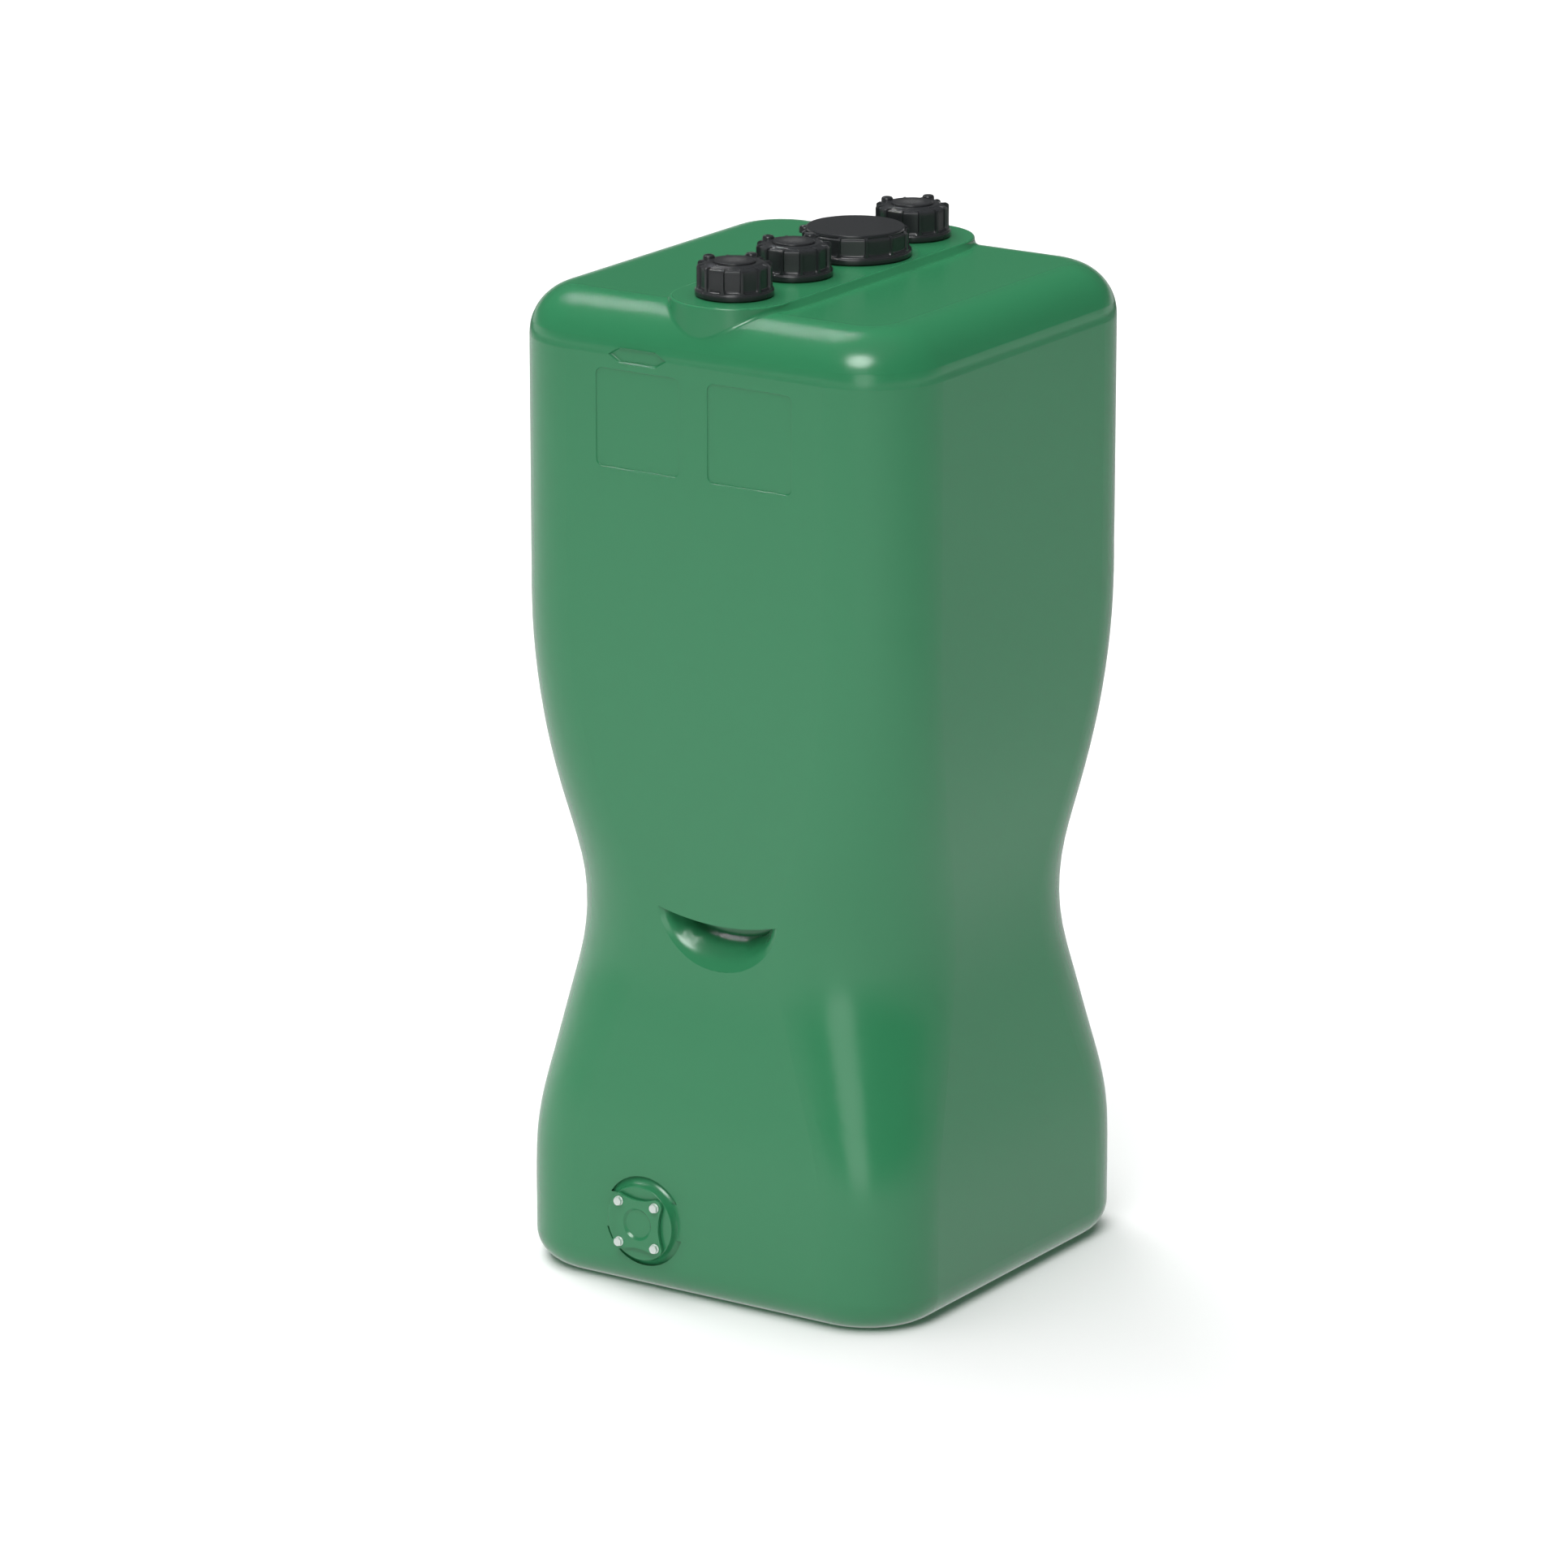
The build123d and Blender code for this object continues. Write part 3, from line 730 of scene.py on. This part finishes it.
class TANK_OT_flange(bpy.types.Operator):
    """Finishes the flange cover, its bolts and washers"""
    bl_idname = "tank.flange"
    bl_label = "Flange cover"

    def execute(self, context):
        finish_node("flange_cover", "green_polyethylene")
        sizes = context.scene.tank_flange
        bolts = [f"flange_bolt_{number}" for number in range(1, BOLT_COUNT + 1)]
        washers = [f"flange_washer_{number}" for number in range(1, BOLT_COUNT + 1)]
        _, washer_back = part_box(washers[0])
        cover = middle("flange_cover")
        for name, mesh, nodes in (("flange_bolts", hex_bolt(sizes.head_across_flats / MM), bolts),
                                  ("flange_washers", washer_ring(), washers)):
            made = grown(name, mesh, bolts_on_a_square(), Spacing=sizes.bolt_spacing, Seed=sizes.seed,
                         Centre=(cover.x, washer_back[1], cover.z), Material=material_for("zinc_steel"))
            finish_piece(name, made, "zinc_steel", *nodes)
        return {"FINISHED"}


def camera_axes(azimuth, elevation):
    """Right, up and towards-the-camera directions of the photo's view."""
    away = Vector((math.sin(azimuth) * math.cos(elevation), -math.cos(azimuth) * math.cos(elevation),
                   math.sin(elevation)))
    right = Vector((math.cos(azimuth), math.sin(azimuth), 0))
    return right, away.cross(right), away


def add_camera(settings):
    """The camera that was fitted to the tank's outline in the photo."""
    right, up, away = camera_axes(settings.azimuth, settings.elevation)
    looks_at = Vector((0, 0, 0.8126))
    pan, rise = -0.0646, -0.0333
    data = bpy.data.cameras.new("photo_camera")
    data.lens = settings.lens
    data.sensor_width = 36
    data.clip_end = 60
    camera = bpy.data.objects.new("photo_camera", data)
    turn = Matrix((right, up, away)).transposed().to_4x4()
    camera.matrix_world = Matrix.Translation(looks_at + away * settings.distance + right * pan + up * rise) @ turn
    bpy.context.scene.collection.objects.link(camera)
    bpy.context.scene.camera = camera


def direction(azimuth, elevation):
    """Unit vector at an azimuth, from straight in front towards +X, and an elevation, both in degrees."""
    turn, rise = math.radians(azimuth), math.radians(elevation)
    return Vector((math.sin(turn) * math.cos(rise), -math.cos(turn) * math.cos(rise), math.sin(rise)))


def add_soft_sun(name, azimuth, elevation, angle, strength, sheen=False, reaches_hollows=False):
    """A far softbox: a sun lamp whose angle is the softbox's width as the tank sees it. It makes either
    the sheen or the even light. One that reaches into hollows casts no shadow, and its sheen is worked
    out from the lamp alone, because a mirrored ray would end on the hollow's own wall."""
    data = bpy.data.lights.new(name, "SUN")
    data.energy = strength
    data.angle = math.radians(angle)
    data.use_shadow = not reaches_hollows
    data.cycles.use_multiple_importance_sampling = not reaches_hollows
    light = bpy.data.objects.new(name, data)
    light.visible_diffuse = not sheen
    light.visible_glossy = sheen
    light.rotation_euler = direction(azimuth, elevation).to_track_quat("Z", "Y").to_euler()
    bpy.context.scene.collection.objects.link(light)


def add_world():
    """White to the camera, dark overhead in reflections, and a broad soft light from the front left."""
    world = bpy.data.worlds.new("white_studio")
    world.use_nodes = True
    tree = world.node_tree
    tree.nodes.clear()
    rays = add_node(tree, "ShaderNodeLightPath")
    towards = add_node(tree, "ShaderNodeTexCoord").outputs["Generated"]
    facing = add_node(tree, "ShaderNodeVectorMath", {0: towards, 1: direction(-60, 32)}, operation="DOT_PRODUCT")
    side = add_node(tree, "ShaderNodeMapRange", {"Value": facing.outputs["Value"], "From Min": -0.6, "From Max": 1.0,
                                                 "To Min": 0.06, "To Max": 0.36})
    height = add_node(tree, "ShaderNodeSeparateXYZ", {0: towards})
    dark = add_node(tree, "ShaderNodeMapRange", {"Value": height.outputs["Z"], "From Min": -0.02, "From Max": 0.08,
                                                 "To Min": 0.9, "To Max": 0.07})
    lit = add_node(tree, "ShaderNodeBackground", {"Color": (1, 1, 1, 1), "Strength": side.outputs["Result"]})
    mirrored = add_node(tree, "ShaderNodeBackground", {"Color": (1, 1, 1, 1), "Strength": dark.outputs["Result"]})
    seen = add_node(tree, "ShaderNodeBackground", {"Color": (1, 1, 1, 1), "Strength": 1.0})
    both = add_node(tree, "ShaderNodeMixShader", {0: rays.outputs["Is Glossy Ray"], 1: lit.outputs[0],
                                                  2: mirrored.outputs[0]})
    whole = add_node(tree, "ShaderNodeMixShader", {0: rays.outputs["Is Camera Ray"], 1: both.outputs[0],
                                                   2: seen.outputs[0]})
    add_node(tree, "ShaderNodeOutputWorld", {"Surface": whole.outputs[0]})
    bpy.context.scene.world = world


def paper_with_painted_reflection():
    """Matt white paper with a painted reflection: to glossy rays it glows, white near the tank, greyer behind it,
    and ends in the dark.
    """
    material, tree, shader = new_material("paper_with_painted_reflection")
    shader.inputs["Base Color"].default_value = linear("#fafafa")
    shader.inputs["Roughness"].default_value = 0.9
    place = add_node(tree, "ShaderNodeTexCoord").outputs["Object"]
    away = add_node(tree, "ShaderNodeVectorMath", {0: place}, operation="LENGTH")
    behind = add_node(tree, "ShaderNodeVectorMath", {0: place, 1: (0.54, 0.84, 0)}, operation="DOT_PRODUCT")
    # Painted reflection: the glow that glossy rays meet is greyer behind the tank and fades to dark far off
    grey = add_node(tree, "ShaderNodeMapRange", {"Value": behind.outputs["Value"], "From Min": -1.0, "From Max": 3.0,
                                                 "To Min": 0.95, "To Max": 0.6})
    end = add_node(tree, "ShaderNodeMapRange", {"Value": away.outputs["Value"], "From Min": 7.0, "From Max": 10.0,
                                                "To Min": 1.0, "To Max": 0.05}, interpolation_type="SMOOTHSTEP")
    painted_reflection_level = add_node(tree, "ShaderNodeMath", {0: grey.outputs["Result"], 1: end.outputs["Result"]},
                     operation="MULTIPLY")
    # Painted reflection: the floor glows at this level for glossy rays only; all other rays meet the matt paper
    mirrored = add_node(tree, "ShaderNodeEmission", {"Strength": painted_reflection_level.outputs["Value"]})
    rays = add_node(tree, "ShaderNodeLightPath")
    both = add_node(tree, "ShaderNodeMixShader", {0: rays.outputs["Is Glossy Ray"], 1: shader.outputs["BSDF"],
                                                  2: mirrored.outputs["Emission"]})
    output = tree.nodes.get("Material Output")
    tree.links.new(both.outputs["Shader"], output.inputs["Surface"])
    return material


def add_floor():
    """The studio's wide paper floor, level with the tank's foot."""
    bpy.ops.mesh.primitive_plane_add(size=30, location=(0, 0, 0))
    floor = bpy.context.object
    floor.name = "studio_floor"
    floor.data.materials.append(paper_with_painted_reflection())


class TANK_OT_stage(bpy.types.Operator):
    """Sets up the floor, the studio lights, the background and the photo's camera"""
    bl_idname = "tank.stage"
    bl_label = "Studio"

    def execute(self, context):
        add_floor()
        add_world()
        add_soft_sun("overhead_fill", -60, 86, 70, 2.1)
        add_soft_sun("left_fill", -113, 53, 30, 0.95)
        add_soft_sun("front_fill", 15, 49, 30, 1.1)
        add_soft_sun("left_softbox", -113, 53, 30, 0.5, sheen=True, reaches_hollows=True)
        add_soft_sun("front_softbox", 15, 49, 28, 1.9, sheen=True)
        add_soft_sun("near_softbox", 25, 9, 26, 0.3, sheen=True)
        add_camera(context.scene.tank_studio)
        context.scene.view_settings.view_transform = "Standard"
        return {"FINISHED"}


class TANK_PT_panel(bpy.types.Panel):
    """Lists the tank's operators in the 3D view's sidebar"""
    bl_label = "Water tank"
    bl_idname = "TANK_PT_panel"
    bl_space_type = "VIEW_3D"
    bl_region_type = "UI"
    bl_category = "Water tank"

    def draw(self, context):
        for operator in OPERATORS:
            self.layout.operator(operator.bl_idname)


GROUPS = (TankColours, UnionNutSizes, ScrewLidSizes, RecessSizes, FlangeSizes, StudioSettings)
OPERATORS = (TANK_OT_body, TANK_OT_moulded_edges, TANK_OT_union_nuts, TANK_OT_screw_lid, TANK_OT_gaskets,
             TANK_OT_flange, TANK_OT_stage)


def register():
    for group in (*GROUPS, *OPERATORS, TANK_PT_panel):
        bpy.utils.register_class(group)
    bpy.types.Scene.tank_colours = bpy.props.PointerProperty(type=TankColours)
    bpy.types.Scene.tank_union_nut = bpy.props.PointerProperty(type=UnionNutSizes)
    bpy.types.Scene.tank_screw_lid = bpy.props.PointerProperty(type=ScrewLidSizes)
    bpy.types.Scene.tank_recesses = bpy.props.PointerProperty(type=RecessSizes)
    bpy.types.Scene.tank_flange = bpy.props.PointerProperty(type=FlangeSizes)
    bpy.types.Scene.tank_studio = bpy.props.PointerProperty(type=StudioSettings)


def unregister():
    del bpy.types.Scene.tank_studio
    del bpy.types.Scene.tank_flange
    del bpy.types.Scene.tank_recesses
    del bpy.types.Scene.tank_screw_lid
    del bpy.types.Scene.tank_union_nut
    del bpy.types.Scene.tank_colours
    for group in reversed((*GROUPS, *OPERATORS, TANK_PT_panel)):
        bpy.utils.unregister_class(group)


def main():
    register()
    bpy.ops.tank.body()
    bpy.ops.tank.moulded_edges()
    bpy.ops.tank.union_nuts()
    bpy.ops.tank.screw_lid()
    bpy.ops.tank.gaskets()
    bpy.ops.tank.flange()
    bpy.ops.tank.stage()


if __name__ == "__main__":
    main()
